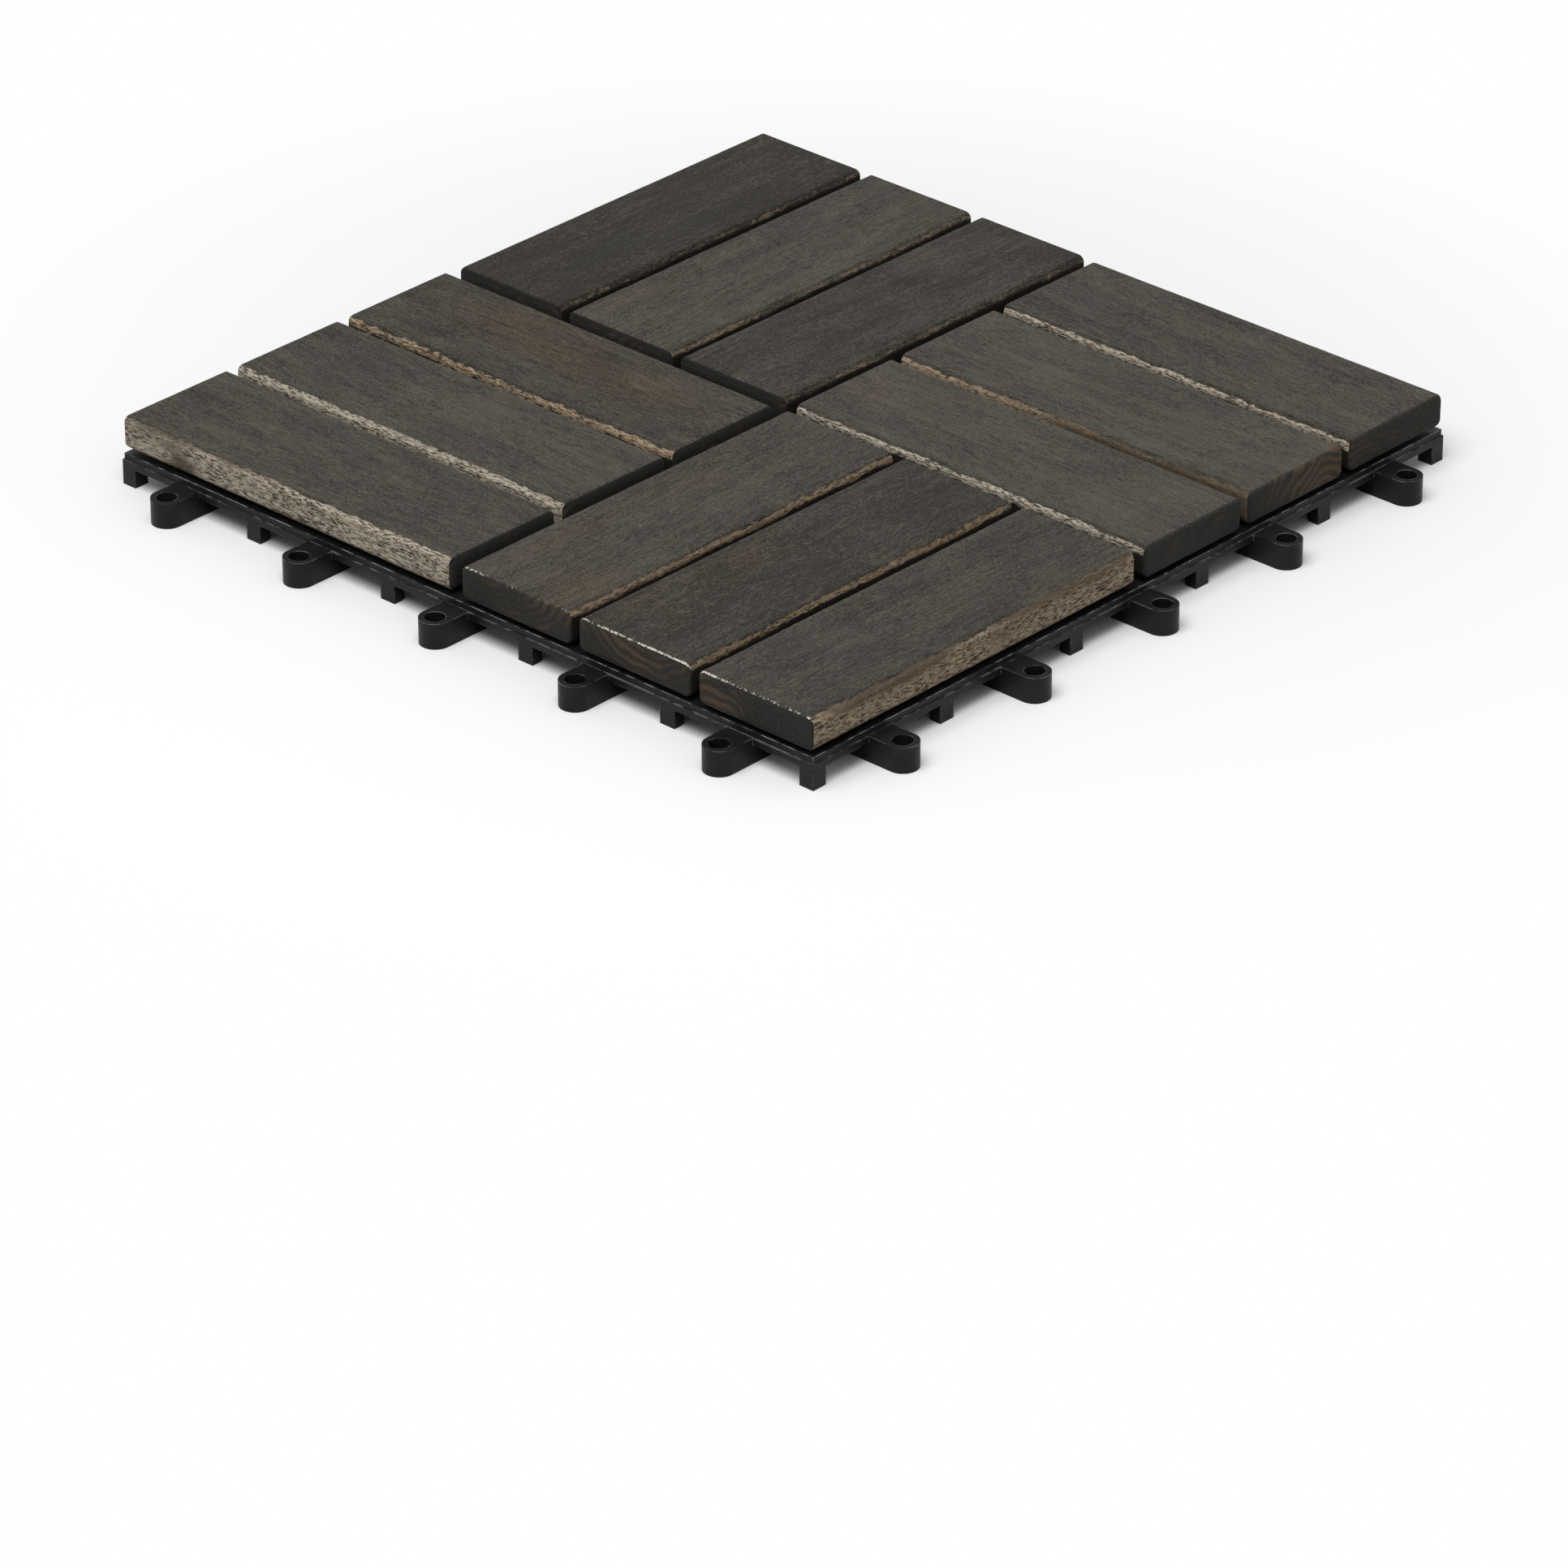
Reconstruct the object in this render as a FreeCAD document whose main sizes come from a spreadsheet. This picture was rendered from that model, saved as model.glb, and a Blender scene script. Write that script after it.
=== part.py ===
"""Interlocking deck tile: twelve wooden slats, laid basket fashion, screwed to a moulded base grid.

The frame: +Z up, origin on the ground under the middle of the tile. The base grid has rings on its -Y and
+X sides, and pegs inside its +Y and -X sides, which drop through the rings of the next tile.
Lengths are in millimetres.
"""
import os

import FreeCAD
import Part
import Sketcher

SIZES = [
    ("tile_side", 300.0, "outside of the base grid, and the pitch of laid tiles"),
    ("band_low", 6.5, "height of the underside of band and ribs"),
    ("band_wall", 2.0, "thickness of the band's outer wall"),
    ("step_setback", 0.5, "how far the band's upper strip is set back"),
    ("channel_wall", 2.0, "thickness of the wall inside the edge channel"),
    ("rib_wall", 2.0, "thickness of a rib"),
    ("ring_pitch", 60.0, "distance between rings, and between pegs"),
    ("ring_reach", 9.0, "middle of a ring from the tile's side"),
    ("ring_bore", 6.8, "hole through a ring"),
    ("ring_wall", 1.9, "wall round a ring's hole, and of its arm"),
    ("ring_height", 8.8, "top of rings and arms, where the band steps back"),
    ("arm_roof", 2.0, "thickness of an arm's top over its hollow"),
    ("ring_rise", 0.6, "play over a ring that has slipped under the ledge"),
    ("ledge_wall", 1.6, "thickness of the ledge behind the band, over rings and pegs"),
    ("slat_lift", 1.5, "height of the slats' seat above the top of band and ledge"),
    ("ring_end_play", 0.7, "play between a ring's end and the channel's wall"),
    ("notch_play", 0.6, "play on each side of a ring in its notch"),
    ("peg_play", 0.35, "play all round a peg in a ring's hole"),
    ("peg_low", 1.0, "height of a peg's tip"),
    ("leg_width", 6.0, "width of the legs along the sides"),
    ("leg_depth", 6.0, "depth of the legs along the sides"),
    ("corner_leg", 5.6, "side of a corner leg"),
    ("foot_width", 9.0, "diameter of the feet inside the grid"),
    ("foot_bore", 5.4, "diameter of the hollow in a foot"),
    ("peg_ease", 0.8, "chamfer at a peg's tip"),
    ("boss_width", 9.0, "diameter of the bosses that take the screws"),
    ("slat_inset", 0.5, "how far the slats stand inside the tile's sides"),
    ("slat_gap", 3.2, "gap between the slats of a square"),
    ("square_gap", 4.4, "gap between the four squares of slats"),
    ("slat_thickness", 11.5, "thickness of a slat"),
    ("slat_round", 2.4, "radius of a slat's long edges"),
    ("slat_end_ease", 1.0, "radius of the edges at a slat's ends"),
    ("screw_shank", 3.5, "diameter of a screw's shank"),
    ("screw_play", 0.1, "play all round a shank"),
    ("screw_depth", 8.5, "how far a screw reaches into a slat"),
    ("screw_point", 2.5, "length of a screw's point"),
    ("screw_tip_play", 0.5, "depth of the hole past a screw's tip"),
    ("head_width", 7.0, "diameter of a screw's head"),
    ("head_height", 2.2, "height of a screw's head"),
    ("head_round", 1.2, "radius of the rim of a screw's head"),
]
RINGS_PER_SIDE = 5
SLATS_PER_SQUARE = 3
SQUARES = ("left", "front", "right", "back")

# What is worked out from the sizes for the slats, as formulas for setExpression
SQUARE_SIDE = "(Sizes.tile_side / 2 - Sizes.slat_inset - Sizes.square_gap / 2)"
SQUARE_MIDDLE = "((Sizes.tile_side / 2 - Sizes.slat_inset + Sizes.square_gap / 2) / 2)"
SLAT_WIDTH = f"(({SQUARE_SIDE} - Sizes.slat_gap * 2) / 3)"
SLAT_PITCH = f"({SLAT_WIDTH} + Sizes.slat_gap)"
SCREW_HOLE = "(Sizes.screw_shank + 2 * Sizes.screw_play)"
SLAT_SEAT = "(Sizes.ring_height + Sizes.ring_rise + Sizes.ledge_wall + Sizes.slat_lift)"

doc = FreeCAD.newDocument("deck_tile")
sheet = doc.addObject("Spreadsheet::Sheet", "Sizes")
for row, (alias, number, meaning) in enumerate(SIZES, start=1):
    sheet.set(f"A{row}", meaning)
    sheet.set(f"B{row}", str(number))
    sheet.setAlias(f"B{row}", alias)
doc.recompute()


def origin_part(body, role):
    """The body's own plane or axis with this role, such as XY_Plane."""
    return [item for item in body.Origin.OriginFeatures if item.Role == role][0]


def level_sketch(body, name, height):
    """A sketch that lies level at this height."""
    sketch = body.newObject("Sketcher::SketchObject", name)
    sketch.AttachmentSupport = [(origin_part(body, "XY_Plane"), "")]
    sketch.MapMode = "FlatFace"
    sketch.setExpression("AttachmentOffset.Base.z", height)
    return sketch


def tie(sketch, kind, places, name, formula):
    """A named dimension of the sketch, bound to a formula."""
    index = sketch.addConstraint(Sketcher.Constraint(kind, *places, 1.0))
    sketch.renameConstraint(index, name)
    sketch.setExpression(f"Constraints.{name}", formula)


def add_rectangle(sketch, name, left, right, low, high):
    """A rectangle in the sketch, each of its sides at the place that a formula gives."""
    corners = [FreeCAD.Vector(*xy, 0) for xy in ((-1, -1), (1, -1), (1, 1), (-1, 1))]
    first = sketch.GeometryCount
    for corner, following in zip(corners, corners[1:] + corners[:1]):
        sketch.addGeometry(Part.LineSegment(corner, following))
    for side in range(4):
        sketch.addConstraint(
            Sketcher.Constraint("Coincident", first + side, 2, first + (side + 1) % 4, 1)
        )
        direction = "Vertical" if side % 2 else "Horizontal"
        sketch.addConstraint(Sketcher.Constraint(direction, first + side))
    tie(sketch, "DistanceX", (-1, 1, first, 1), f"{name}_left", left)
    tie(sketch, "DistanceX", (-1, 1, first + 1, 2), f"{name}_right", right)
    tie(sketch, "DistanceY", (-1, 1, first, 1), f"{name}_low", low)
    tie(sketch, "DistanceY", (-1, 1, first + 1, 2), f"{name}_high", high)


def add_circle(sketch, name, x, y, width):
    """A circle in the sketch, with formulas for its middle and diameter."""
    index = sketch.addGeometry(Part.Circle(FreeCAD.Vector(1, 1, 0), FreeCAD.Vector(0, 0, 1), 1))
    tie(sketch, "DistanceX", (-1, 1, index, 3), f"{name}_x", x)
    tie(sketch, "DistanceY", (-1, 1, index, 3), f"{name}_y", y)
    tie(sketch, "Diameter", (index,), f"{name}_width", width)


def pad(body, sketch, name, length):
    """The sketch drawn up into the body."""
    feature = body.newObject("PartDesign::Pad", name)
    feature.Profile = sketch
    feature.setExpression("Length", length)
    return feature


def pocket(body, sketch, name, length):
    """The sketch cut upwards out of the body."""
    feature = body.newObject("PartDesign::Pocket", name)
    feature.Profile = sketch
    feature.Reversed = True
    feature.setExpression("Length", length)
    return feature


def edge_names(shape, wanted):
    """The names of the edges that pass the test."""
    return [f"Edge{number}" for number, edge in enumerate(shape.Edges, start=1) if wanted(edge)]


def block(x, y, z):
    """A box between the two places given along each axis."""
    corner = FreeCAD.Vector(x[0], y[0], z[0])
    return Part.makeBox(x[1] - x[0], y[1] - y[0], z[1] - z[0], corner)


def rod(x, y, z, width):
    """An upright cylinder with its middle at x, y, between the two heights in z."""
    return Part.makeCylinder(width / 2, z[1] - z[0], FreeCAD.Vector(x, y, z[0]))


def frame_ring(outside, inside, z):
    """A square frame round the middle of the tile, from its half sides."""
    whole = block((-outside, outside), (-outside, outside), z)
    return whole.cut(block((-inside, inside), (-inside, inside), z))


def turned(shapes, turns):
    """The shapes, and their copies turned about the middle of the tile by quarters."""
    middle = FreeCAD.Vector(0, 0, 0)
    up = FreeCAD.Vector(0, 0, 1)
    return [shape.rotated(middle, up, 90 * turn) for turn in range(turns) for shape in shapes]


# What is worked out from the sizes for the base grid
half = sheet.tile_side / 2
square_side = half - sheet.slat_inset - sheet.square_gap / 2
square_middle = (square_side + sheet.square_gap) / 2
slat_pitch = (square_side + sheet.slat_gap) / 3
ring_half = sheet.ring_bore / 2 + sheet.ring_wall
peg_width = sheet.ring_bore - 2 * sheet.peg_play
channel_out = half - sheet.ring_reach - ring_half - sheet.ring_end_play
channel_in = channel_out - sheet.channel_wall
ledge_low = sheet.ring_height + sheet.ring_rise
band_top = ledge_low + sheet.ledge_wall
grid_top = band_top + sheet.slat_lift
ring_places = [sheet.ring_pitch * (i - (RINGS_PER_SIDE - 1) / 2) for i in range(RINGS_PER_SIDE)]
leg_places = [(a + b) / 2 for a, b in zip(ring_places, ring_places[1:])]
slat_lines = [sign * (square_middle + i * slat_pitch) for sign in (-1, 1) for i in (-1, 0, 1)]
gap_lines = [0] + [sign * (square_middle + i * slat_pitch) for sign in (-1, 1) for i in (-0.5, 0.5)]
foot_places = [(x, y) for x in gap_lines for y in gap_lines]
boss_places = [(x, y) for x in slat_lines for y in slat_lines]


def make_edge():
    """The band with its step, the ledge and the wall of the edge channel behind it."""
    inside_band = half - sheet.band_wall
    band = frame_ring(half, inside_band, (sheet.band_low, band_top))
    ledge = frame_ring(inside_band, channel_out, (ledge_low, band_top))
    wall = frame_ring(channel_out, channel_in, (sheet.band_low, grid_top))
    step = frame_ring(half + 1, half - sheet.step_setback, (sheet.ring_height, band_top + 1))
    return band.fuse([ledge, wall]).cut(step)


def make_legs():
    """Legs along the sides, flat outside and round inside, and square legs at the corners."""
    height = (0, ledge_low)
    reach = sheet.leg_width / 2
    back = -half + sheet.leg_depth - reach
    legs = []
    for x in leg_places:
        sides = (x - reach, x + reach)
        legs.append(block(sides, (-half, back), height))
        legs.append(rod(x, back, height, sheet.leg_width).common(block(sides, (-half, 0), height)))
    corner = (-half, -half + sheet.corner_leg)
    step = frame_ring(half + 1, half - sheet.step_setback, (sheet.ring_height, band_top))
    return [leg.cut(step) for leg in turned(legs + [block(corner, corner, height)], 4)]


def make_rings():
    """Rings on two sides, each on a hollow arm that runs in to the wall of the channel."""
    y = -half - sheet.ring_reach
    height = (0, sheet.ring_height)
    rings = []
    for x in ring_places:
        sides = (x - ring_half, x + ring_half)
        arm = block(sides, (y, -channel_out), height)
        root = block(sides, (-half + sheet.band_wall, -channel_out), (0, ledge_low))
        hollow = block(
            (x - sheet.ring_bore / 2, x + sheet.ring_bore / 2),
            (y + ring_half, -channel_out - sheet.ring_wall),
            (0, sheet.ring_height - sheet.arm_roof),
        )
        ring = rod(x, y, height, 2 * ring_half)
        bore = rod(x, y, height, sheet.ring_bore)
        rings.append(ring.fuse([arm, root]).cut([hollow, bore]).removeSplitter())
    return turned(rings, 2)


def make_pegs():
    """Pegs under the ledge on the other two sides, each with a chamfered tip."""
    pegs = []
    for x in ring_places:
        peg = rod(x, half - sheet.ring_reach, (sheet.peg_low, ledge_low), peg_width)
        tip = [edge for edge in peg.Edges if edge.BoundBox.ZMax < sheet.peg_low + 0.001]
        pegs.append(peg.makeChamfer(sheet.peg_ease, tip))
    return turned(pegs, 2)


def make_notches():
    """Cuts through the band in front of the pegs, for the rings of the next tile."""
    reach = ring_half + sheet.notch_play
    wall = (half - sheet.band_wall, half)
    height = (sheet.band_low, ledge_low)
    return turned([block((x - reach, x + reach), wall, height) for x in ring_places], 2)


def make_lattice():
    """Ribs under the middle of every slat and under every gap, with pads over the feet and bosses.

    The plan is joined flat and then raised, which is far quicker than joining solid ribs.
    """
    up = FreeCAD.Vector(0, 0, 1)
    disc = lambda x, y, width: Part.Face(
        Part.Wire(Part.makeCircle(width / 2, FreeCAD.Vector(x, y, sheet.band_low), up))
    )
    ribs = []
    for line in slat_lines + gap_lines:
        corner = FreeCAD.Vector(-channel_in, line - sheet.rib_wall / 2, sheet.band_low)
        ribs.append(Part.makePlane(2 * channel_in, sheet.rib_wall, corner))
    plan = turned(ribs, 2)
    plan += [disc(x, y, sheet.foot_width) for x, y in foot_places]
    plan += [disc(x, y, sheet.boss_width) for x, y in boss_places]
    hole_width = sheet.screw_shank + 2 * sheet.screw_play
    holes = [disc(x, y, hole_width) for x, y in boss_places]
    flat = plan[0].multiFuse(plan[1:]).removeSplitter().cut(holes)
    return flat.extrude(up * (grid_top - sheet.band_low))


def make_feet():
    """Tubes from the ground up to the lattice."""
    height = (0, sheet.band_low)
    return [
        rod(x, y, height, sheet.foot_width).cut(rod(x, y, height, sheet.foot_bore))
        for x, y in foot_places
    ]


# Base grid: one moulding
base = doc.addObject("Part::Feature", "base_grid")
edge = make_edge().multiFuse(make_legs() + make_rings() + make_pegs()).cut(make_notches())
base.Shape = edge.removeSplitter().multiFuse([make_lattice()] + make_feet()).removeSplitter()
base.Placement = FreeCAD.Placement()


def make_slat(name, quarter, place):
    """One slat: a rounded strip with two screw holes underneath, the outermost of its square at place 0."""
    body = doc.addObject("PartDesign::Body", name)
    sketch = level_sketch(body, f"{name}_outline", "0")
    add_rectangle(
        sketch,
        "slat",
        f"-{SQUARE_SIDE} / 2",
        f"{SQUARE_SIDE} / 2",
        f"-{SLAT_WIDTH} / 2",
        f"{SLAT_WIDTH} / 2",
    )
    strip = pad(body, sketch, f"{name}_strip", "Sizes.slat_thickness")
    doc.recompute()

    long_sides = body.newObject("PartDesign::Fillet", f"{name}_long_edges")
    is_long = lambda edge: edge.BoundBox.XLength > edge.BoundBox.YLength + edge.BoundBox.ZLength
    long_sides.Base = (strip, edge_names(strip.Shape, is_long))
    long_sides.setExpression("Radius", "Sizes.slat_round")
    doc.recompute()

    ends = body.newObject("PartDesign::Fillet", f"{name}_end_edges")
    is_end = lambda edge: edge.BoundBox.XLength < 0.001
    ends.Base = (long_sides, edge_names(long_sides.Shape, is_end))
    ends.setExpression("Radius", "Sizes.slat_end_ease")

    sketch = level_sketch(body, f"{name}_pilot_outline", "0")
    add_circle(sketch, "near", f"-{SLAT_PITCH}", "0", SCREW_HOLE)
    add_circle(sketch, "far", SLAT_PITCH, "0", SCREW_HOLE)
    pocket(body, sketch, f"{name}_pilots", "Sizes.screw_depth + Sizes.screw_tip_play")

    across = f"({SQUARE_MIDDLE} + {1 - place} * {SLAT_PITCH})"
    x, y = (
        (f"-{SQUARE_MIDDLE}", f"-{across}"),
        (across, f"-{SQUARE_MIDDLE}"),
        (SQUARE_MIDDLE, across),
        (f"-{across}", SQUARE_MIDDLE),
    )[quarter]
    turn = FreeCAD.Rotation(FreeCAD.Vector(0, 0, 1), 90 * (quarter % 2))
    body.Placement = FreeCAD.Placement(FreeCAD.Vector(0, 0, 0), turn)
    body.setExpression("Placement.Base.x", x)
    body.setExpression("Placement.Base.y", y)
    body.setExpression("Placement.Base.z", SLAT_SEAT)
    return body


slats = [
    make_slat(f"slat_{square}_{place + 1}", quarter, place)
    for quarter, square in enumerate(SQUARES)
    for place in range(SLATS_PER_SQUARE)
]
doc.recompute()


def make_screw():
    """One screw, point up, with its head's seat at the origin."""
    shank = sheet.screw_shank / 2
    head = sheet.head_width / 2
    seat_to_top = grid_top - sheet.band_low + sheet.screw_depth
    curve = sheet.head_round
    rim = Part.Arc(
        FreeCAD.Vector(head - curve, 0, -sheet.head_height),
        FreeCAD.Vector(head - curve * (1 - 0.5**0.5), 0, -sheet.head_height + curve * (1 - 0.5**0.5)),
        FreeCAD.Vector(head, 0, -sheet.head_height + curve),
    )
    points = [
        FreeCAD.Vector(*xz)
        for xz in (
            (head, 0, -sheet.head_height + curve),
            (head, 0, 0),
            (shank, 0, 0),
            (shank, 0, seat_to_top - sheet.screw_point),
            (0, 0, seat_to_top),
            (0, 0, -sheet.head_height),
            (head - curve, 0, -sheet.head_height),
        )
    ]
    profile = Part.Wire([rim.toShape()] + Part.makePolygon(points).Edges)
    return Part.Face(profile).revolve(FreeCAD.Vector(0, 0, 0), FreeCAD.Vector(0, 0, 1), 360)


# Screws: two to a slat, from below, through the grid's bosses
screws = doc.addObject("Part::Feature", "slat_screws")
one_screw = make_screw()
copies = []
for slat in slats:
    for side in (-1, 1):
        seat = slat.Placement.multVec(FreeCAD.Vector(side * slat_pitch, 0, 0))
        seat.z = sheet.band_low
        copies.append(one_screw.translated(seat))
screws.Shape = Part.makeCompound(copies)
screws.Placement = FreeCAD.Placement()
doc.recompute()

# Each object is checked, then each piece is written under its own name
for item in doc.Objects:
    if "Invalid" in item.State or "Error" in item.State:
        raise RuntimeError(f"{item.Name} failed: {item.State}")
os.makedirs("parts", exist_ok=True)
for piece in [base, screws] + slats:
    shape = piece.Shape
    if shape.isNull() or not shape.isValid():
        raise RuntimeError(f"{piece.Label} has no valid shape")
    shape.exportStep(f"parts/{piece.Label}.step")
    print(piece.Label, len(shape.Solids), round(shape.Volume), shape.BoundBox)
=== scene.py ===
"""Interlocking deck tile: the looks of its twelve wooden slats, its moulded base grid and its screws.

The model is in metres, +Z up, with its origin on the ground under the middle of the tile.
"""

import bpy
import numpy as np
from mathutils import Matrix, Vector


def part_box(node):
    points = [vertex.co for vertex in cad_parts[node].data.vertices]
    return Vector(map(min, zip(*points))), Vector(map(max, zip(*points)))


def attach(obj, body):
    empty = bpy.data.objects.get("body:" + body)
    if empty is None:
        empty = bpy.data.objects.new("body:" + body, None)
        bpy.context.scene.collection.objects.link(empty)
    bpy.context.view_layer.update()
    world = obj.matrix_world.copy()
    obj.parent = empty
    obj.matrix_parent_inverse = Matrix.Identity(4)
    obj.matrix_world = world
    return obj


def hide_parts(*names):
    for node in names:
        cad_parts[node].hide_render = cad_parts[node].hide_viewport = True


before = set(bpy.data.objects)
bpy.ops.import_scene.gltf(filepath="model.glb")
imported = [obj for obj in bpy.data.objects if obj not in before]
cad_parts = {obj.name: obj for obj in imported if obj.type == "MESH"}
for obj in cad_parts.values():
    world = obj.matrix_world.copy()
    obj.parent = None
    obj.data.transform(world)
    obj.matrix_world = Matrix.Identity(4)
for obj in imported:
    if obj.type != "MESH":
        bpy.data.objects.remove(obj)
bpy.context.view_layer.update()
MM = 0.001

# Slats: strips of hardwood, sawn, planed on top and stained a dark grey-brown before they were screwed down.
# Each has rounded long edges, eased ends and two pilot holes underneath. The stain has worn off the edges,
# and the sawn sides drank little of it, so they stay pale and rough.
# Light and shade are painted on them in places too: shade on the long sides, darkest deep in the gaps, near
# black shade on ends that face a gap, and a highlight along the worn rims of ends.
SLAT_GAP = 3.2 * MM
LONG_EDGE_RADIUS = 2.4 * MM
PILOT_RADIUS = 1.85 * MM
PILOT_DEPTH = 9.0 * MM
EDGE_WEAR = 0.28 * MM
SAW_ROUGHNESS = 0.11 * MM
PLANED_GROOVES = 0.04 * MM
GRAIN_SLOPE = 0.035
LOG_STEP = 0.3
GROWTH_RING = 3.1 * MM
FIBRE_RELIEF = 0.18 * MM
# The mesh: its cells along, across and up the slat, the steps round an edge, and how far down a surface
# has to face to count as the flat underside
CELLS = (0.85 * MM, 0.95 * MM, 1.1 * MM)
EDGE_STEPS = 4
FACING_DOWN = -0.999

# Colours of stain and bare wood, and of painted shade and highlight, from dark to light where there are two
# or three
TOP_COLOURS = (0.0225, 0.0202, 0.0160), (0.0935, 0.0860, 0.0722)
WARM_COLOURS = (0.0285, 0.0220, 0.0150), (0.1140, 0.0885, 0.0620)
END_COLOURS = (0.011, 0.011, 0.010), (0.048, 0.047, 0.043)
TORN_COLOURS = (0.054, 0.038, 0.024), (0.068, 0.055, 0.040)
SAWN_COLOURS = (0.260, 0.192, 0.124), (0.520, 0.400, 0.272), (0.620, 0.555, 0.448)
PORE = (0.022, 0.019, 0.016)
FLECK = (0.24, 0.215, 0.17)
BLOT = (0.032, 0.031, 0.029)
# Painted shade on the long sides, up to 12 % of it
SIDE_SHADE = (0.030, 0.025, 0.020)
# Painted shade deep in the gaps between slats, on their sides
GAP_SHADE_ON_SIDES = (0.018, 0.016, 0.013)
RUN_STAIN = (0.075, 0.054, 0.036)
# Painted shade, near black, on ends that face a gap
GAP_SHADE_ON_ENDS = (0.006, 0.006, 0.0055)
RING_BROWN = (0.120, 0.080, 0.050)
# Worn pale wood with a painted highlight, on the rims of ends
RIM_WEAR_AND_HIGHLIGHT = (0.62, 0.58, 0.50)

# Per slat:
# - how light its top is
# - how pale its sawn sides are
# - from and to what depth (mm) its sawn sides are bare, and how far the stain is gone there; below the
#   second depth, deep in the gap, they get painted shade
# - the radius of the edges at its low and its high end (mm)
# - how worn those edges are, the worn rim with a painted highlight, or, below 0, how black they are with
#   painted shade
# - how far to one side and up from its middle the log's heart lay (mm)
SLAT_LOOKS = {
    "slat_left_1": (0.50, 0.85, (0.2, 12.0, 1.0), (0.8, 2.0), -1.0, (6, -34)),
    "slat_left_2": (0.55, 0.97, (0.3, 12.0, 0.9), (0.8, 2.0), -1.0, (-14, -40)),
    "slat_left_3": (0.38, 0.32, (0.5, 3.4, 0.8), (0.8, 2.0), -1.0, (20, 30)),
    "slat_front_1": (0.43, 0.58, (0.3, 12.0, 1.0), (0.8, 0.8), 0.65, (-16, -22)),
    "slat_front_2": (0.23, 0.00, (0.4, 2.2, 0.6), (0.8, 0.8), 0.78, (4, 24)),
    "slat_front_3": (0.48, 0.12, (0.4, 2.4, 0.65), (0.8, 0.8), 0.30, (-12, 31)),
    "slat_right_1": (0.52, 0.85, (0.9, 3.3, 1.0), (1.2, 1.2), 0.10, (12, -30)),
    "slat_right_2": (0.65, 0.40, (0.8, 12.0, 0.7), (1.2, 1.2), 0.10, (-12, -13)),
    "slat_right_3": (0.63, 0.90, (0.8, 3.3, 1.0), (1.2, 1.2), 0.10, (-22, -36)),
    "slat_back_1": (0.10, 0.00, (0.5, 2.0, 0.35), (2.0, 0.8), -1.0, (10, -28)),
    "slat_back_2": (0.56, 0.00, (0.5, 2.0, 0.45), (2.0, 0.8), -1.0, (-18, 26)),
    "slat_back_3": (0.27, 0.00, (0.5, 2.0, 0.40), (2.0, 0.8), -1.0, (24, -44)),
}
# Where the wood's own red-brown shows through the stain on tops and ends: middle and reach (mm) and strength
# of each soft patch. A negative strength is a darker blot.
WARM_PATCHES = (
    ((-79, -20, 24), (56, 19, 6), 0.85),
    ((-41, -26, 24), (30, 10, 6), 0.55),
    ((-103, -14, 24), (25, 9, 6), 0.55),
    ((65, -88, 24), (11, 20, 6), 0.70),
    ((14, -56, 24), (9, 26, 6), 0.55),
    ((38, -137, 24), (12, 19, 6), 0.95),
    ((12, -110, 24), (7, 30, 6), 0.50),
    ((64, -128, 24), (14, 18, 6), 0.60),
    ((103, -89, 24), (10, 18, 6), 0.40),
    ((-90, 27, 24), (9, 16, 6), 0.60),
    ((13, 28, 24), (16, 12, 6), 0.50),
    ((-60, 120, 24), (14, 24, 6), 0.30),
    ((82, -80, 24), (9, 12, 6), -0.70),
    ((110, -121, 24), (12, 13, 6), -0.70),
    ((-120, 60, 24), (12, 34, 6), -0.50),
    ((-30, 75, 24), (12, 40, 6), -0.40),
    ((76, -150, 18), (15, 3, 6), 0.70),
    ((34, -150, 17), (14, 3, 5), 0.10),
    ((110, -150, 16), (9, 3, 5), 0.90),
    ((150, 88, 18), (3, 17, 8), 1.40),
    ((150, 140, 20), (3, 8, 4), 0.25),
)
# Where stain has run over sawn sides, in the same way: the two outer ones and one in the right square
SIDE_PATCHES = (
    ((-136, -150, 23), (20, 6, 3.0), 0.60),
    ((-123, -150, 15), (7, 6, 4.0), 1.00),
    ((-98, -150, 24), (26, 6, 2.0), 0.40),
    ((-80, -150, 17), (30, 6, 4.0), 0.20),
    ((150, -30, 24), (6, 34, 3.0), 1.10),
    ((150, -64, 20), (6, 14, 2.5), 0.40),
    ((150, -112, 22.5), (6, 28, 2.6), 0.90),
    ((150, -138, 15), (6, 12, 2.5), 0.30),
    ((104, 52, 22), (48, 5, 4.0), 0.95),
    ((146, 52, 15), (18, 5, 6.0), 1.80),
)
# Where the rims of ends are worn more than the rest of their length, and carry more painted highlight
RIM_PATCHES = (
    ((4, -149, 23), (6, 4, 3), 0.80),
    ((90, -149, 23), (14, 4, 3), 0.40),
    ((103, -149, 23), (8, 4, 3), 0.40),
)


def unevenness(places, grain, seed):
    """Smooth random values from -1 to 1, for features about as large as grain says, in mm.

    Random numbers stand on a lattice. Each place blends the eight round it, by weights t * t * (3 - 2 * t).
    """
    size = 48
    lattice = np.random.default_rng(seed).uniform(-1, 1, (size, size, size))
    cells = places / (np.asarray(grain) * MM)
    low = np.floor(cells).astype(int)
    share = cells - low
    share = share * share * (3 - 2 * share)
    total = np.zeros(len(places))
    for corner in np.ndindex(2, 2, 2):
        weight = np.prod(np.where(corner, share, 1 - share), axis=1)
        total += weight * lattice[tuple(((low + corner) % size).T)]
    return total


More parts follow.
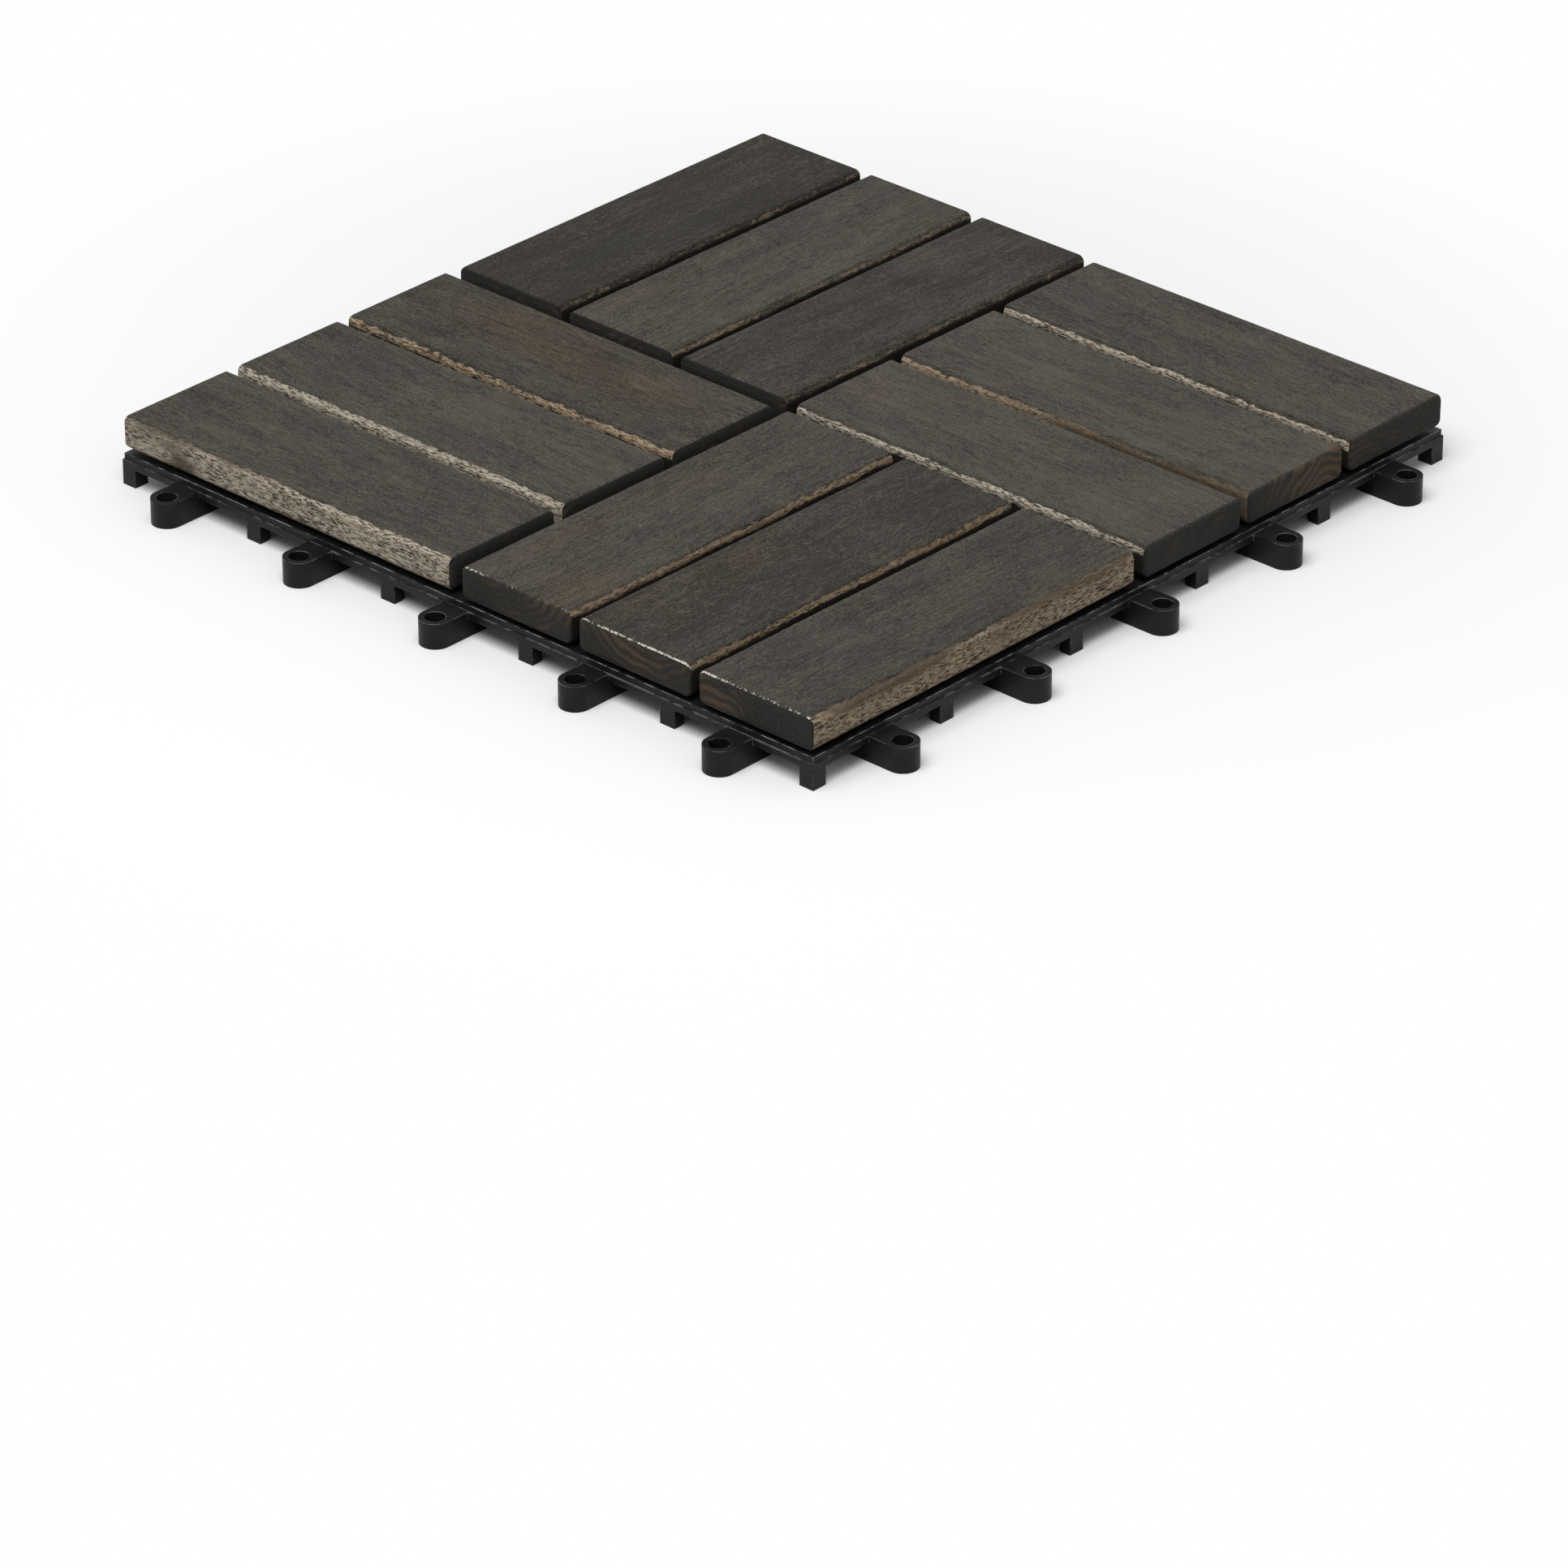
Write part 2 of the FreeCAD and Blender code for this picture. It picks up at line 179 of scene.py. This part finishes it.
def box_shell(counts):
    """Corners, as whole numbers, and four-sided faces of a closed box with so many cells along each axis."""
    sides = []
    for axis in range(3):
        first, second = (axis + 1) % 3, (axis + 2) % 3
        a, b = np.meshgrid(np.arange(counts[first]), np.arange(counts[second]), indexing="ij")
        for end in (0, counts[axis]):
            corners = np.zeros((a.size, 4, 3), int)
            corners[..., axis] = end
            steps = ((0, 0), (1, 0), (1, 1), (0, 1)) if end else ((0, 0), (0, 1), (1, 1), (1, 0))
            for number, (da, db) in enumerate(steps):
                corners[:, number, first] = a.ravel() + da
                corners[:, number, second] = b.ravel() + db
            sides.append(corners)
    corners = np.concatenate(sides).reshape(-1, 3)
    places, which = np.unique(corners, axis=0, return_inverse=True)
    return places, which.reshape(-1, 4)


def grid_lines(half, radii, cell):
    """Places of grid lines from -half to half: even ones between, and at even angles round each edge."""
    low, high = radii[0] - half, half - radii[1]
    middle = np.linspace(low, high, int(round((high - low) / cell)) + 1)
    steps = np.tan(np.linspace(0, np.pi / 4, EDGE_STEPS + 1)[1:])
    return np.concatenate([low - radii[0] * steps[::-1], middle, high + radii[1] * steps])


def rounded(places, halves, end_radii):
    """A bar's surface with rounded edges, and its outward direction.

    Across the bar each place is pulled in by the long edges' radius and put out again by it along u. At the
    angle a of an end's rounding, the end is set back by r * (1 - sin a) and the sides by r * (1 - cos a).
    """
    r = np.where(places[:, 0] < 0, *end_radii)
    across = np.full((len(places), 2), halves[1:] - LONG_EDGE_RADIUS)
    inner = np.column_stack([halves[0] - r, across])
    core = np.clip(places, -inner, inner)
    excess = places - core
    reach = np.hypot(excess[:, 1], excess[:, 2])
    a = np.arctan2(abs(excess[:, 0]) / r, reach / LONG_EDGE_RADIUS)
    u = excess[:, 1:] / np.maximum(reach, 1e-9)[:, None]
    normal = np.column_stack([np.sign(excess[:, 0]) * np.sin(a), np.cos(a)[:, None] * u])
    core[:, 0] += r * normal[:, 0]
    core[:, 1:] += (LONG_EDGE_RADIUS - r * (1 - np.cos(a)))[:, None] * u
    return core, normal


def drill(places, numbers, lines, under, pitch):
    """Sinks the two pilot holes into the underside and returns which places belong to them.

    They lie one pitch of the slats either side of the middle. Round the nearest crossing of grid lines,
    ring k of the grid becomes a circle: ring 3 is the hole's rim, ring 2 its bottom edge, and rings 1 and 0
    its floor.
    """
    in_hole = np.zeros(len(places), bool)
    for x in (-pitch, pitch):
        middle = [np.argmin(abs(lines[0] - x)), np.argmin(abs(lines[1]))]
        offset = numbers[:, :2] - middle
        ring = abs(offset).max(axis=1)
        inside = under & (ring <= 3)
        angle = np.arctan2(offset[:, 1], offset[:, 0])
        reach = PILOT_RADIUS * np.minimum(ring / 2, 1)
        places[inside, 0] = (x + reach * np.cos(angle))[inside]
        places[inside, 1] = (reach * np.sin(angle))[inside]
        places[inside & (ring < 3), 2] += PILOT_DEPTH
        in_hole |= inside
    return in_hole


def make_mesh(name, places, faces):
    """A mesh from arrays of places and four-sided faces, shaded smooth."""
    mesh = bpy.data.meshes.new(name)
    mesh.from_pydata(places, [], faces)
    mesh.shade_smooth()
    return mesh


def add_object(name, data):
    """A new object in the scene, unturned and at the origin."""
    added = bpy.data.objects.new(name, data)
    bpy.context.collection.objects.link(added)
    return added


def note(mesh, name, values):
    """Keeps a number or a vector for each vertex, under a name that a material reads."""
    kind, field = ("FLOAT", "value") if values.ndim == 1 else ("FLOAT_VECTOR", "vector")
    attribute = mesh.attributes.new(name, kind, "POINT")
    attribute.data.foreach_set(field, values.astype(np.float32).ravel())


def smoothstep(low, high, values):
    """From 0 at low to 1 at high, by t * t * (3 - 2 * t)."""
    share = np.clip((values - low) / (high - low), 0, 1)
    return share * share * (3 - 2 * share)


def patches(places, table):
    """The sum of soft ovals, strength * exp(-r * r) with r the distance from the middle over the reach."""
    total = np.zeros(len(places))
    for middle, reach, strength in table:
        offset = (places / MM - middle) / reach
        total += strength * np.exp(-(offset**2).sum(axis=1))
    return total


def make_slat(name, number):
    """One slat, worked out flat at the origin along X and then put where the frame has it."""
    tone, paleness, bare_depths, end_radii, end_wear_highlight_shade, heart = SLAT_LOOKS[name]
    low, high = (np.array(corner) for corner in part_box(name))
    across = high[1] - low[1] > high[0] - low[0]
    size = (high - low)[[1, 0, 2]] if across else high - low
    halves = size / 2
    end_radii = np.array(end_radii) * MM
    radii = (end_radii, [LONG_EDGE_RADIUS] * 2, [LONG_EDGE_RADIUS] * 2)
    lines = [grid_lines(*along) for along in zip(halves, radii, CELLS)]
    numbers, faces = box_shell([len(line) - 1 for line in lines])
    flat = np.stack([lines[axis][numbers[:, axis]] for axis in range(3)], axis=1)
    places, normal = rounded(flat, halves, end_radii)
    under = normal[:, 2] < FACING_DOWN
    in_hole = drill(places, numbers, lines, under, size[1] + SLAT_GAP)

    # How far each place belongs to a side, an end, the top, an edge or the rim of an end, by where it faces
    side = smoothstep(0.10, 0.60, abs(normal[:, 1]))
    end = smoothstep(0.25, 0.65, abs(normal[:, 0]))
    top = smoothstep(0.6, 0.98, normal[:, 2])
    edge = 1 - smoothstep(0.72, 0.99, abs(normal).max(axis=1))
    rim = smoothstep(0.10, 0.40, abs(normal[:, 0])) * smoothstep(0.15, 0.50, normal[:, 2])
    upper = smoothstep(0.25, 0.85, normal[:, 2])

    # Unevenness of each kind, by the size in mm of its features along, across and up the slat
    wander = unevenness(places, (9, 4, 4), number)
    chips = unevenness(places, (2.2, 1.3, 1.3), number + 20)
    fuzz = unevenness(places, (1.5, 0.9, 0.9), number + 40)
    groove = unevenness(places, (26, 1.7, 6), number + 60)
    drift = unevenness(places, (38, 20, 20), number + 80)

    # The bare band on the sawn sides, with borders that wander, and below it, deep in the gap, painted shade
    depth = (halves[2] - places[:, 2]) / MM + 0.45 * drift + 0.42 * wander + 0.38 * chips
    begin, stop, gone = bare_depths
    deep = smoothstep(stop - 0.4, stop + 0.5, depth)
    bare = (smoothstep(begin - 0.25, begin + 0.25, depth) - deep) * gone

    # Wear, saw marks and planed grooves sink the surface, but not in the holes or underneath
    worn = edge * EDGE_WEAR * (0.45 + 0.3 * wander + 0.25 * chips)
    rough = side * SAW_ROUGHNESS * (0.5 + 0.5 * fuzz)
    planed = top * PLANED_GROOVES * (0.5 + 0.5 * groove)
    sunk = np.where(in_hole | under, 0, worn + rough + planed)
    places = places - normal * sunk[:, None]

    # Where each place lay in the log, measured from its heart, with each slat cut from another stretch of it
    slope = GRAIN_SLOPE * np.sin(2.4 * number)
    grain = places.copy()
    grain[:, 0] += LOG_STEP * number
    grain[:, 1] += heart[0] * MM + slope * places[:, 0]
    grain[:, 2] -= heart[1] * MM + 0.5 * slope * places[:, 0]

    if across:
        places = places[:, [1, 0, 2]] * (-1, 1, 1)
    places = places + (low + high) / 2
    mesh = make_mesh(name, places, faces)
    note(mesh, "grain", grain)
    note(mesh, "sawn_side", side)
    note(mesh, "bare_side", side * bare)
    # Where the sides lie deep in a gap and take painted shade
    note(mesh, "deep_side", side * deep)
    note(mesh, "end_grain", end)
    # Rims of ends: above 0 worn with a painted highlight, below 0 near black with painted shade
    note(mesh, "rim_wear_highlight_shade", rim * (end_wear_highlight_shade + patches(places, RIM_PATCHES)))
    note(mesh, "warmth", patches(places, WARM_PATCHES))
    note(mesh, "stain_run", 0.30 * upper + patches(places, SIDE_PATCHES))
    note(mesh, "tone", np.full(len(places), tone))
    note(mesh, "paleness", np.full(len(places), paleness))
    return mesh


class Finish:
    """A material or a sky, put together node by node from numbers, colours and other nodes' outputs."""

    def __init__(self, owner):
        owner.use_nodes = True
        self.owner = owner
        self.tree = owner.node_tree
        self.tree.nodes.clear()

    def add(self, kind, inputs=None, **settings):
        """A node with its settings made and its inputs filled, by name or by number."""
        node = self.tree.nodes.new("ShaderNode" + kind)
        for setting, value in settings.items():
            setattr(node, setting, value)
        for key, value in (inputs or {}).items():
            if isinstance(value, bpy.types.NodeSocket):
                self.tree.links.new(value, node.inputs[key])
            else:
                node.inputs[key].default_value = value
        return node

    def read(self, name, output="Fac"):
        """What the mesh keeps for each vertex under this name."""
        return self.add("Attribute", attribute_name=name).outputs[output]

    def maths(self, operation, first, second=0.0, third=0.0):
        """One step of arithmetic."""
        return self.add("Math", {0: first, 1: second, 2: third}, operation=operation).outputs[0]

    def sway(self, value, noise, weight):
        """The value with weight times the noise added, the noise counted from its middle, one half."""
        return self.maths("MULTIPLY_ADD", noise, weight, self.maths("SUBTRACT", value, weight / 2))

    def ramp(self, value, low, high, to_low=0.0, to_high=1.0):
        """A smooth step from to_low at low to to_high at high."""
        inputs = {"Value": value, 1: low, 2: high, 3: to_low, 4: to_high}
        return self.add("MapRange", inputs, interpolation_type="SMOOTHSTEP").outputs[0]

    def noise(self, place, stretch, detail, roughness, distortion=0.0):
        """Noise with one feature per stretch, in mm, along each axis."""
        scale = Vector(1 / (length * MM) for length in stretch)
        mapped = self.add("Mapping", {"Vector": place, "Scale": scale}).outputs[0]
        inputs = {"Vector": mapped, "Scale": 1.0, "Detail": detail, "Roughness": roughness}
        inputs["Distortion"] = distortion
        return self.add("TexNoise", inputs).outputs[0]

    def blend(self, share, first, second):
        """Two colours mixed by a share from 0 to 1. A Mix node's colours are inputs 6 and 7 and output 2."""
        node = self.add("Mix", data_type="RGBA")
        for key, value in ((0, share), (6, first), (7, second)):
            if isinstance(value, bpy.types.NodeSocket):
                self.tree.links.new(value, node.inputs[key])
            elif key:
                node.inputs[key].default_value = (*value, 1)
            else:
                node.inputs[key].default_value = value
        return node.outputs[2]

    def finish(self, **inputs):
        """The surface itself, with names of its inputs written with _ for a space."""
        named = {key.replace("_", " "): value for key, value in inputs.items()}
        surface = self.add("BsdfPrincipled", named).outputs[0]
        self.add("OutputMaterial", {"Surface": surface})
        return self.owner


def stained_wood():
    """Dark grey-brown stain over hardwood, thin over the sawn sides and worn off the edges, with painted
    shade on the sides, in the gaps and on ends that face a gap, and a painted highlight on the worn rims of
    ends.
    """
    wood = Finish(bpy.data.materials.new("stained_wood"))
    grain = wood.read("grain", "Vector")
    paleness = wood.read("paleness")

    # The planed top: soft clouds and streaks, growth rings cut lengthwise, fine fibres, short pores and pale
    # flecks, and patches where the wood's own warm colour shows through
    clouds = wood.noise(grain, (26, 13, 13), 3.0, 0.55)
    streaks = wood.noise(grain, (60, 6, 10), 4.0, 0.6, 0.3)
    fibres = wood.noise(grain, (4.5, 0.6, 0.8), 3.0, 0.65)
    speckle = wood.noise(grain, (1, 0.6, 0.6), 2.0, 0.6)
    parts = wood.add("SeparateXYZ", {0: grain})
    squares = [wood.maths("MULTIPLY", parts.outputs[axis], parts.outputs[axis]) for axis in (1, 2)]
    radius = wood.maths("SQRT", wood.maths("ADD", *squares))
    bend = wood.noise(grain, (60, 16, 16), 2.0, 0.5)
    bent = wood.maths("MULTIPLY_ADD", bend, 10 * MM, radius)
    turns = wood.maths("MULTIPLY", bent, 2 * np.pi / GROWTH_RING)
    rings = wood.maths("MULTIPLY_ADD", wood.maths("SINE", turns), 0.5, 0.5)
    hairs = wood.noise(grain, (13, 0.5, 0.7), 2.0, 0.5)
    light = wood.read("tone")
    coarse = ((clouds, 0.85), (streaks, 0.70), (rings, 0.10))
    fine = ((hairs, 0.85), (fibres, 1.70), (speckle, 2.40))
    for pattern, weight in coarse + fine:
        light = wood.sway(light, pattern, weight)
    top = wood.blend(light, *TOP_COLOURS)
    pores = wood.noise(grain, (3, 0.45, 0.5), 1.0, 0.5)
    top = wood.blend(wood.ramp(pores, 0.62, 0.76, 0.0, 0.6), top, PORE)
    flecks = wood.noise(grain, (1.6, 0.6, 0.8), 1.0, 0.5)
    top = wood.blend(wood.ramp(flecks, 0.74, 0.84, 0.0, 0.6), top, FLECK)
    warm = wood.sway(wood.sway(wood.read("warmth"), streaks, 1.6), fibres, 1.2)
    warm_top = wood.blend(light, *WARM_COLOURS)
    top = wood.blend(wood.ramp(warm, 0.0, 1.1, 0.0, 0.9), top, warm_top)
    top = wood.blend(wood.ramp(warm, -0.20, -0.9, 0.0, 0.6), top, BLOT)

    # The sawn side: pale torn fibres over darker wood, brown in places, with stain run over it. It goes from
    # brown over tan to nearly white as the slat's paleness rises.
    torn = wood.noise(grain, (2.2, 0.4, 0.4), 3.0, 0.65)
    broad = wood.noise(grain, (18, 4, 4), 3.0, 0.6, 0.4)
    brown, tan, nearly_white = SAWN_COLOURS
    pale = wood.blend(wood.ramp(paleness, 0.0, 0.5), brown, tan)
    pale = wood.blend(wood.ramp(paleness, 0.5, 1.0), pale, nearly_white)
    under = wood.blend(paleness, *TORN_COLOURS)
    bright = wood.sway(wood.ramp(torn, 0.38, 0.61), broad, 1.0)
    sawn = wood.blend(bright, under, pale)
    run = wood.sway(wood.sway(wood.read("stain_run"), broad, 1.8), torn, 1.8)
    sawn = wood.blend(wood.ramp(run, 0.20, 1.0, 0.0, 0.85), sawn, RUN_STAIN)

    # The ends: nearly black, with brown rings where the stain sank in less, and painted shade, blacker
    # still, on ends that face a gap
    patchy = wood.noise(grain, (20, 11, 8), 2.0, 0.5)
    thin = wood.maths("ADD", wood.read("warmth"), wood.ramp(patchy, 0.45, 0.75, 0.0, 0.45))
    ringed = wood.maths("MULTIPLY", thin, wood.ramp(rings, 0.15, 0.95, 0.30, 1.0))
    ends = wood.blend(wood.sway(0.5, torn, 2.8), *END_COLOURS)
    ends = wood.blend(wood.ramp(ringed, 0.0, 1.0, 0.0, 0.75), ends, RING_BROWN)
    rim_wear_highlight_shade = wood.read("rim_wear_highlight_shade")
    # Ends of slats that face a gap are painted near black: painted shade
    ends = wood.blend(wood.ramp(rim_wear_highlight_shade, 0.0, -0.6, 0.0, 0.8), ends, GAP_SHADE_ON_ENDS)

    # Where one meets the next: torn borders, and pale wood where an end's rim has worn through, with a
    # painted highlight on it
    on_side = wood.ramp(wood.sway(wood.read("sawn_side"), torn, 0.8), 0.35, 0.65)
    # The long sides are painted up to 12 % darker than the top: painted shade
    stained_and_shaded = wood.blend(wood.ramp(on_side, 0.0, 1.0, 0.0, 0.12), top, SIDE_SHADE)
    # Deep in the gaps the sides are painted darker still: painted shade
    stained_and_shaded = wood.blend(wood.read("deep_side"), stained_and_shaded, GAP_SHADE_ON_SIDES)
    is_bare = wood.sway(wood.sway(wood.read("bare_side"), torn, 1.1), broad, 0.8)
    colour = wood.blend(wood.ramp(is_bare, 0.30, 0.62), stained_and_shaded, sawn)
    on_end = wood.ramp(wood.sway(wood.read("end_grain"), torn, 0.8), 0.35, 0.60)
    colour = wood.blend(on_end, colour, ends)
    chipped = wood.noise(grain, (1.8, 0.8, 0.7), 3.0, 0.65)
    rim = wood.sway(wood.sway(rim_wear_highlight_shade, chipped, 3.2), broad, 1.5)
    rim = wood.maths("MULTIPLY", wood.ramp(rim, 0.55, 1.15), wood.ramp(rim_wear_highlight_shade, 0.05, 0.30))
    # The pale rim is worn wood with a painted highlight on it
    colour = wood.blend(rim, colour, RIM_WEAR_AND_HIGHLIGHT)

    # Fibres stand up, most so on the torn sides, and pores are sunk
    relief = wood.maths("MULTIPLY_ADD", torn, wood.maths("MULTIPLY_ADD", on_side, 1.8, 0.25), fibres)
    relief = wood.maths("MULTIPLY_ADD", pores, -0.6, relief)
    bump = wood.add("Bump", {"Strength": 0.6, "Distance": FIBRE_RELIEF, "Height": relief})
    return wood.finish(
        Base_Color=colour,
        Roughness=wood.ramp(on_side, 0.0, 1.0, 0.66, 0.9),
        Normal=bump.outputs[0],
        Specular_IOR_Level=0.1,
    )


wood_finish = stained_wood()
for order, slat_name in enumerate(SLAT_LOOKS):
    slat = add_object(slat_name + "_wood", make_slat(slat_name, order))
    slat.data.materials.append(wood_finish)
    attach(slat, "root")
    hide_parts(slat_name)

# Base grid: one black polypropylene moulding with rings on two sides and pegs under the other two.
# Its faces have a faint satin grain, and its moulded edges are slightly round, with a grey highlight painted
# along them, most of all along the rim of its band.
PLASTIC_EDGE = 0.45 * MM
RIM_HEIGHT = 10.8 * MM
SATIN_RELIEF = 0.06 * MM
PLASTIC_COLOURS = (0.0050, 0.0056, 0.0057), (0.0095, 0.0104, 0.0104)
# Painted highlight, grey, along the moulded edges
PAINTED_EDGE_HIGHLIGHT = (0.60, 0.60, 0.58)
DUST = (0.30, 0.295, 0.28)


def black_plastic():
    """Satin black plastic with a fine grain, slight scuffs and a grey highlight painted along its edges."""
    plastic = Finish(bpy.data.materials.new("black_plastic"))
    place = plastic.add("TexCoord").outputs["Object"]
    cloud = plastic.noise(place, (22, 22, 11), 3.0, 0.55)
    grit = plastic.noise(place, (0.6, 0.6, 0.6), 2.0, 0.6)
    scuffs = plastic.noise(place, (4.5, 4.5, 1.6), 3.0, 0.65)
    soft = plastic.add("Bevel", {"Radius": PLASTIC_EDGE}, samples=6)
    facing = plastic.add("NewGeometry").outputs["True Normal"]
    turned = plastic.add("VectorMath", {0: soft.outputs[0], 1: facing}, operation="DOT_PRODUCT")
    # On the edges a grey highlight is painted, broken up by the scuffs and strongest along the band's rim
    on_edge = plastic.ramp(turned.outputs["Value"], 0.985, 0.80)
    edge_highlight_share = plastic.maths("MULTIPLY", on_edge, plastic.ramp(scuffs, 0.42, 0.62))
    height = plastic.add("SeparateXYZ", {0: place}).outputs["Z"]
    on_rim = plastic.ramp(height, RIM_HEIGHT - MM, RIM_HEIGHT, 0.45, 1.0)
    edge_highlight_share = plastic.maths("MULTIPLY", edge_highlight_share, on_rim)
    colour = plastic.blend(plastic.ramp(cloud, 0.35, 0.7), *PLASTIC_COLOURS)
    colour = plastic.blend(plastic.maths("MULTIPLY", edge_highlight_share, 0.95), colour, PAINTED_EDGE_HIGHLIGHT)
    colour = plastic.blend(plastic.ramp(grit, 0.73, 0.79, 0.0, 0.5), colour, DUST)
    grain = {"Strength": 0.25, "Distance": SATIN_RELIEF, "Height": grit, "Normal": soft.outputs[0]}
    return plastic.finish(
        Base_Color=colour,
        Roughness=plastic.ramp(scuffs, 0.3, 0.75, 0.38, 0.56),
        Normal=plastic.add("Bump", grain).outputs[0],
        Specular_IOR_Level=0.2,
    )


def dress(name, material):
    """Gives a piece that keeps its own mesh its finish."""
    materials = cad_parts[name].data.materials
    materials.clear()
    materials.append(material)


dress("base_grid", black_plastic())

# Screws: zinc-plated steel wood screws with a low round head, two to a slat, driven up from below through
# the grid's bosses.
PLATE_COLOURS = (0.42, 0.41, 0.39), (0.62, 0.61, 0.58)


def plated_steel():
    """Bright zinc plate with fine turned marks."""
    steel = Finish(bpy.data.materials.new("plated_steel"))
    place = steel.add("TexCoord").outputs["Object"]
    marks = steel.noise(place, (1.2, 1.2, 0.3), 3.0, 0.6)
    colour = steel.blend(steel.ramp(marks, 0.3, 0.7), *PLATE_COLOURS)
    rough = steel.ramp(marks, 0.3, 0.7, 0.28, 0.45)
    return steel.finish(Base_Color=colour, Roughness=rough, Metallic=1.0)


dress("slat_screws", plated_steel())

# Floor: a plain matt sheet. It shows pale round the tile, with the tile's shadow on it, and turns plain
# white further out. To light that falls on it, it is grey.
FLOOR_SIDE = 6.0
FLOOR_GREY = (0.32, 0.32, 0.32)
FLOOR_PALE = (0.97, 0.97, 0.97)
WHITE = (1, 1, 1, 1)
SHADOW_REACH = (0.18, 0.36)


def looked_at(finish):
    """1 for what the camera sees, straight or in a reflection or through glass, and 0 for other light."""
    path = finish.add("LightPath").outputs
    seen = finish.maths("MAXIMUM", path["Is Camera Ray"], path["Is Glossy Ray"])
    return finish.maths("MAXIMUM", seen, path["Is Transmission Ray"])


def pale_floor():
    """Where it is looked at, pale paint that turns plain white away from the tile. To other light, grey."""
    floor = Finish(bpy.data.materials.new("pale_floor"))
    place = floor.add("TexCoord").outputs["Object"]
    out = floor.add("VectorMath", {0: place}, operation="LENGTH").outputs["Value"]
    seen = looked_at(floor)
    paint = floor.add("BsdfDiffuse", {"Color": floor.blend(seen, FLOOR_GREY, FLOOR_PALE)}).outputs[0]
    white = floor.add("Emission", {"Color": WHITE, "Strength": 1.0}).outputs[0]
    share = floor.maths("MULTIPLY", floor.ramp(out, *SHADOW_REACH), seen)
    mixed = floor.add("MixShader", {0: share, 1: paint, 2: white}).outputs[0]
    floor.add("OutputMaterial", {"Surface": mixed})
    return floor.owner


corner = FLOOR_SIDE / 2
sheet_corners = [(-corner, -corner, 0), (corner, -corner, 0), (corner, corner, 0), (-corner, corner, 0)]
ground = add_object("floor", make_mesh("floor", sheet_corners, [(0, 1, 2, 3)]))
ground.data.materials.append(pale_floor())

# Light: a soft grey sky, which shows white, and one broad lamp high up in front
SKY_LEVEL = 0.42
LAMP_PLACE = Vector((0.35, -1.1, 2.6))
LAMP_SIDE = 2.2
LAMP_POWER = 60.0


def plain_sky():
    """White where it is looked at, but grey to other light."""
    sky = Finish(bpy.data.worlds.new("sky"))
    level = sky.ramp(looked_at(sky), 0.0, 1.0, SKY_LEVEL, 1.0)
    light = sky.add("Background", {"Color": WHITE, "Strength": level}).outputs[0]
    sky.add("OutputWorld", {"Surface": light})
    return sky.owner


def aim(thing, place, target):
    """Puts a lamp or a camera at a place and turns it to its target."""
    thing.location = place
    thing.rotation_euler = (target - place).to_track_quat("-Z", "Y").to_euler()


bpy.context.scene.world = plain_sky()
lamp_data = bpy.data.lights.new("high_lamp", "AREA")
lamp_data.size = LAMP_SIDE
lamp_data.energy = LAMP_POWER
aim(add_object("high_lamp", lamp_data), LAMP_PLACE, Vector((0, 0, 0)))

# Camera: it looks along the tile's diagonal, from the front right corner, 29 degrees above the floor
CAMERA_PLACE = Vector((1.58343, -1.71525, 1.17753))
CAMERA_AIM = Vector((0.0327, -0.0358, -0.0880))
CAMERA_LENS = 186.6
CAMERA_SENSOR = 36.0

camera_data = bpy.data.cameras.new("camera")
camera_data.lens = CAMERA_LENS
camera_data.sensor_width = CAMERA_SENSOR
camera = add_object("camera", camera_data)
aim(camera, CAMERA_PLACE, CAMERA_AIM)
bpy.context.scene.camera = camera
bpy.context.scene.view_settings.view_transform = "Standard"
